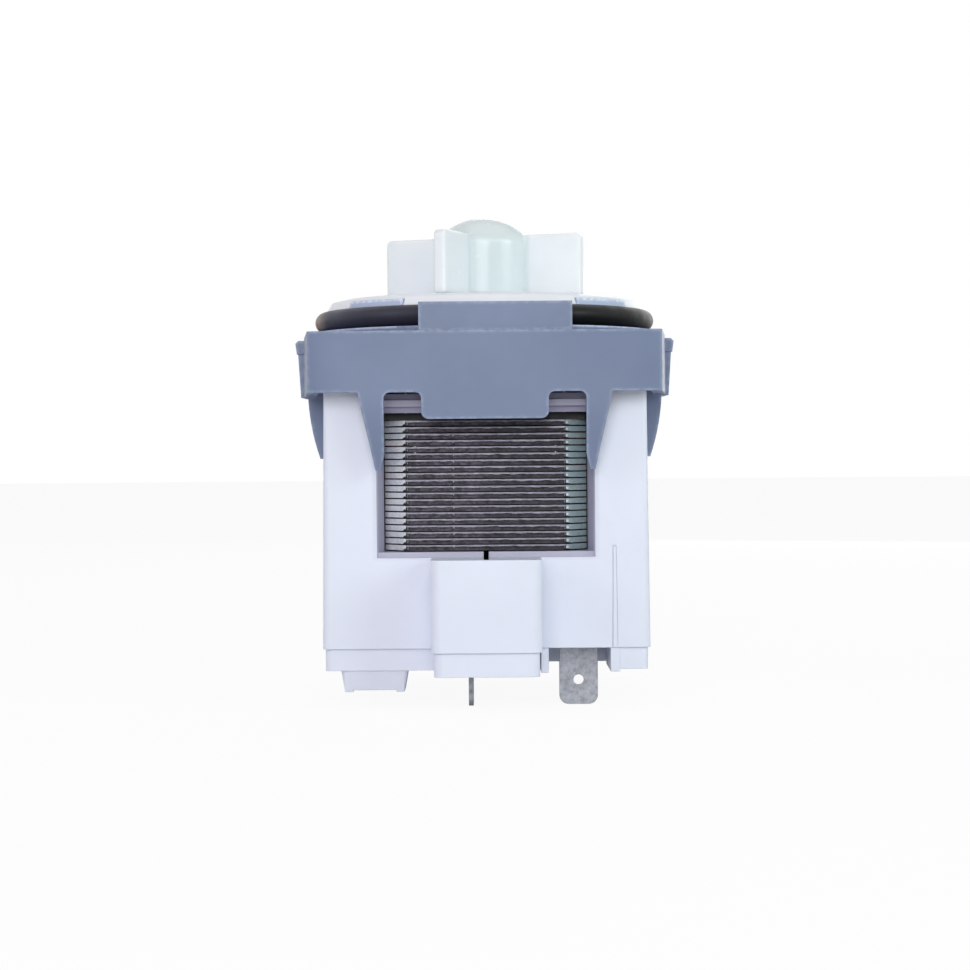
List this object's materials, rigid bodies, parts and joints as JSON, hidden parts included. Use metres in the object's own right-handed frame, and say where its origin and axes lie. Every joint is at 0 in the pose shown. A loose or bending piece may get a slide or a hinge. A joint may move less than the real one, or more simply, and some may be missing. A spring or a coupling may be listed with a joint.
{
  "type": "washer drain pump",
  "caption": "Drain pump with a two-pole synchronous motor in a square housing, a flanged head with an O-ring, and a bladed impeller that turns with lost motion.",
  "frame": {"origin": "on the rotor's axis, in the plane of the collar's top, where the pump seats on its housing", "axes": "+Z along the rotor's axis towards the impeller; -Y towards the side with the terminal block; +X to the right seen from that side"},
  "size_m": [0.0642, 0.069, 0.0816],
  "materials": {
    "flange_plastic": "satin moulded",
    "housing_plastic": "satin moulded",
    "cap_plastic": "smooth moulded",
    "impeller_plastic": "smooth, slightly translucent",
    "seal_rubber": "smooth moulded",
    "core_steel": "stamped sheet edges",
    "rivet_steel": "bright",
    "tab_metal": "tin plated, dull",
    "shaft_steel": "ground",
    "bush_ceramic": "dense graphite ceramic",
    "magnet_ferrite": "sintered ferrite",
    "bobbin_plastic": "moulded",
    "winding_wire": "enamelled copper",
    "inner_plastic": "moulded",
    "cutout_case": "moulded"
  },
  "bodies": {
    "housing": {"pump_flange": "flange_plastic", "front_cap": "cap_plastic", "flange_o_ring": "seal_rubber", "coil_housing": "housing_plastic", "rear_cover": "housing_plastic", "stator_core_left": "core_steel", "stator_core_right": "core_steel", "core_rivets": "rivet_steel", "bobbin_left": "bobbin_plastic", "bobbin_right": "bobbin_plastic", "winding_left": "winding_wire", "winding_right": "winding_wire", "terminal_tab_right": "tab_metal", "terminal_tab_centre": "tab_metal", "thermal_cutout": "cutout_case", "front_bearing": "bush_ceramic", "rear_bearing": "bush_ceramic", "front_bearing_mount": "seal_rubber", "rear_bearing_mount": "seal_rubber", "shaft_seal": "seal_rubber"},
    "rotor": {"rotor_shaft": "shaft_steel", "rotor_magnet": "magnet_ferrite", "rotor_core": "inner_plastic", "front_thrust_washer": "inner_plastic", "rear_thrust_washer": "inner_plastic", "lash_dog": "inner_plastic"},
    "impeller": {"impeller": "impeller_plastic", "hub_retainer": "inner_plastic", "lash_dampers": "seal_rubber"}
  },
  "joints": [
    {"name": "rotor_spin", "type": "hinge", "parent": "housing", "child": "rotor", "pos_m": [0, 0, 0], "axis": [0, 0, 1], "continuous": true},
    {"name": "impeller_lash", "type": "hinge", "parent": "rotor", "child": "impeller", "pos_m": [0, 0, 0.01], "axis": [0, 0, 1], "range_deg": [-115, 115]}
  ]
}
